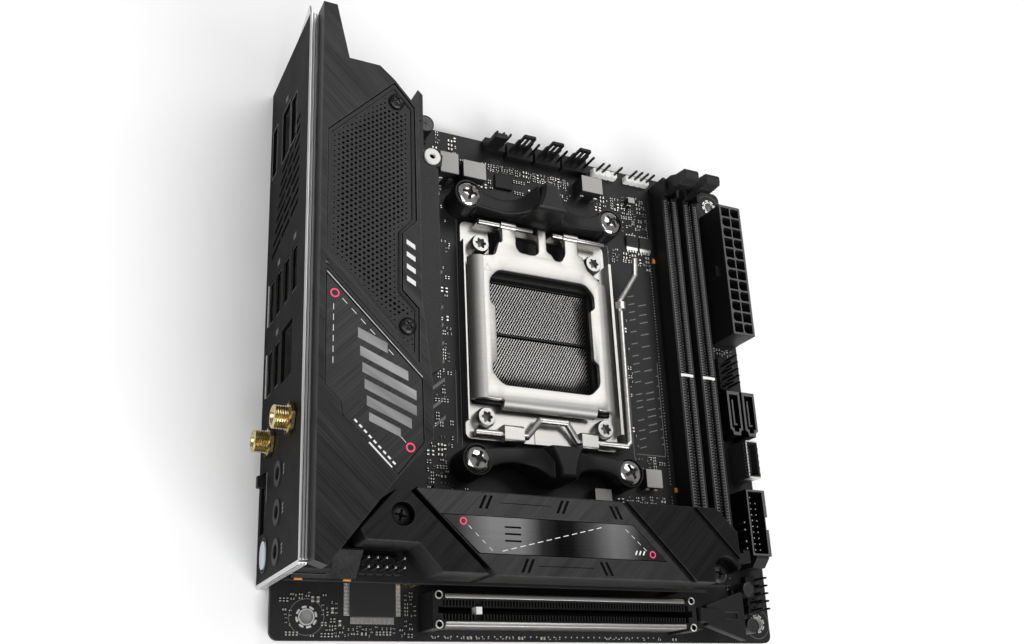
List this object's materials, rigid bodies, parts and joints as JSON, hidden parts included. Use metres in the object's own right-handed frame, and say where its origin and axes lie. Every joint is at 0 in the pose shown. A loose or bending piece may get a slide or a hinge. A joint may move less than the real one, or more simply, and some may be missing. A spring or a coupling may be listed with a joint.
{
  "type": "motherboard",
  "caption": "Small square computer motherboard with rear port panel, shrouded fan and heatsinks, pin-grid processor socket with load plate and lever, two memory slots and one card slot.",
  "frame": {"origin": "axis of the fixing hole nearest the corner between the ports and the card slot, on the main board's back face", "axes": "+X from the rear port panel across the board, +Y from the card slot towards the fan headers, +Z out of the component side"},
  "size_m": [0.1786, 0.1755, 0.0508],
  "materials": {
    "board_black": "satin solder mask over glass fibre",
    "plated_brass": "plated",
    "black_plastic": "matt moulded",
    "dark_steel": "matt",
    "panel_black": "matt, fine grained",
    "bright_trim": "brushed along its length",
    "cover_metal": "anodised, diagonal brushed grain",
    "black_screw": "black oxide",
    "accent_metal": "anodised, graded",
    "heatsink_metal": "bead blasted, anodised",
    "white_plastic": "matt",
    "contact_metal": "plated",
    "satin_steel": "satin",
    "bright_steel": "polished",
    "choke_grey": "pressed powder",
    "chip_black": "moulded",
    "can_grey": "satin",
    "gold_plate": "gold plated",
    "button_grey": "translucent"
  },
  "bodies": {
    "board": {"pcb": "board_black", "daughter_board": "board_black", "board_spacers": "plated_brass", "board_connector": "black_plastic", "backplate": "dark_steel", "port_panel": "panel_black", "port_panel_rim": "bright_trim", "port_cover": "cover_metal", "fan_grille": "cover_metal", "grille_screws": "black_screw", "accent_plate": "accent_metal", "power_heatsink": "heatsink_metal", "heatsink_nut": "white_plastic", "fan_frame": "black_plastic", "socket_housing": "black_plastic", "contact_field": "contact_metal", "socket_frame": "satin_steel", "socket_screws": "bright_steel", "cooler_bracket_top": "black_plastic", "cooler_bracket_bottom": "black_plastic", "bracket_screws": "bright_steel", "dimm_slot_a": "black_plastic", "dimm_slot_b": "black_plastic", "dimm_contacts": "contact_metal", "main_power_header": "black_plastic", "cpu_power_header": "black_plastic", "fan_headers": "black_plastic", "light_headers": "white_plastic", "chokes": "choke_grey", "chips": "chip_black", "capacitors": "can_grey", "panel_header": "black_plastic", "sata_port_a": "black_plastic", "sata_port_b": "black_plastic", "usb_c_header": "satin_steel", "usb3_header": "black_plastic", "usb2_header": "black_plastic", "audio_header": "black_plastic", "drive_heatsink": "cover_metal", "drive_side_plate": "cover_metal", "trim_strip": "accent_metal", "drive_screws": "black_screw", "drive_connector": "black_plastic", "chipset": "heatsink_metal", "card_slot": "black_plastic", "card_slot_shield": "bright_steel", "card_slot_key": "white_plastic", "video_ports": "satin_steel", "usb_lan_ports": "satin_steel", "antenna_jacks": "gold_plate", "audio_jacks": "black_plastic", "rear_switches": "black_plastic"},
    "plate": {"load_plate": "satin_steel"},
    "lever": {"load_lever": "bright_steel"},
    "slot_latch_a": {"dimm_latch_a": "black_plastic"},
    "slot_latch_b": {"dimm_latch_b": "black_plastic"},
    "card_latch_arm": {"card_latch": "black_plastic"},
    "fan": {"fan_rotor": "black_plastic"},
    "knob": {"mode_switch_knob": "black_plastic"},
    "button": {"flash_button": "button_grey"}
  },
  "joints": [
    {"name": "plate_hinge", "type": "hinge", "parent": "board", "child": "plate", "pos_m": [0.07604, 0.12875, 0.0072], "axis": [-1, 0, 0], "range_deg": [0, 90]},
    {"name": "lever_hinge", "type": "hinge", "parent": "board", "child": "lever", "pos_m": [0.07604, 0.05665, 0.0052], "axis": [1, 0, 0], "range_deg": [0, 110]},
    {"name": "slot_latch_a_hinge", "type": "hinge", "parent": "board", "child": "slot_latch_a", "pos_m": [0.13044, 0.15705, 0.0048], "axis": [-1, 0, 0], "range_deg": [0, 25]},
    {"name": "slot_latch_b_hinge", "type": "hinge", "parent": "board", "child": "slot_latch_b", "pos_m": [0.13964, 0.15705, 0.0048], "axis": [-1, 0, 0], "range_deg": [0, 25]},
    {"name": "card_latch_hinge", "type": "hinge", "parent": "board", "child": "card_latch_arm", "pos_m": [0.12444, 0.00125, 0.0056], "axis": [0, 1, 0], "range_deg": [0, 14]},
    {"name": "fan_spin", "type": "hinge", "parent": "board", "child": "fan", "pos_m": [0.00284, 0.10565, 0.0376], "axis": [0, 0, 1], "continuous": true},
    {"name": "mode_slide", "type": "slide", "parent": "board", "child": "knob", "axis": [0, 1, 0], "range_m": [-0.004, 0]},
    {"name": "button_push", "type": "slide", "parent": "board", "child": "button", "axis": [1, 0, 0], "range_m": [0, 0.0008], "stiffness_N_per_m": 800}
  ]
}
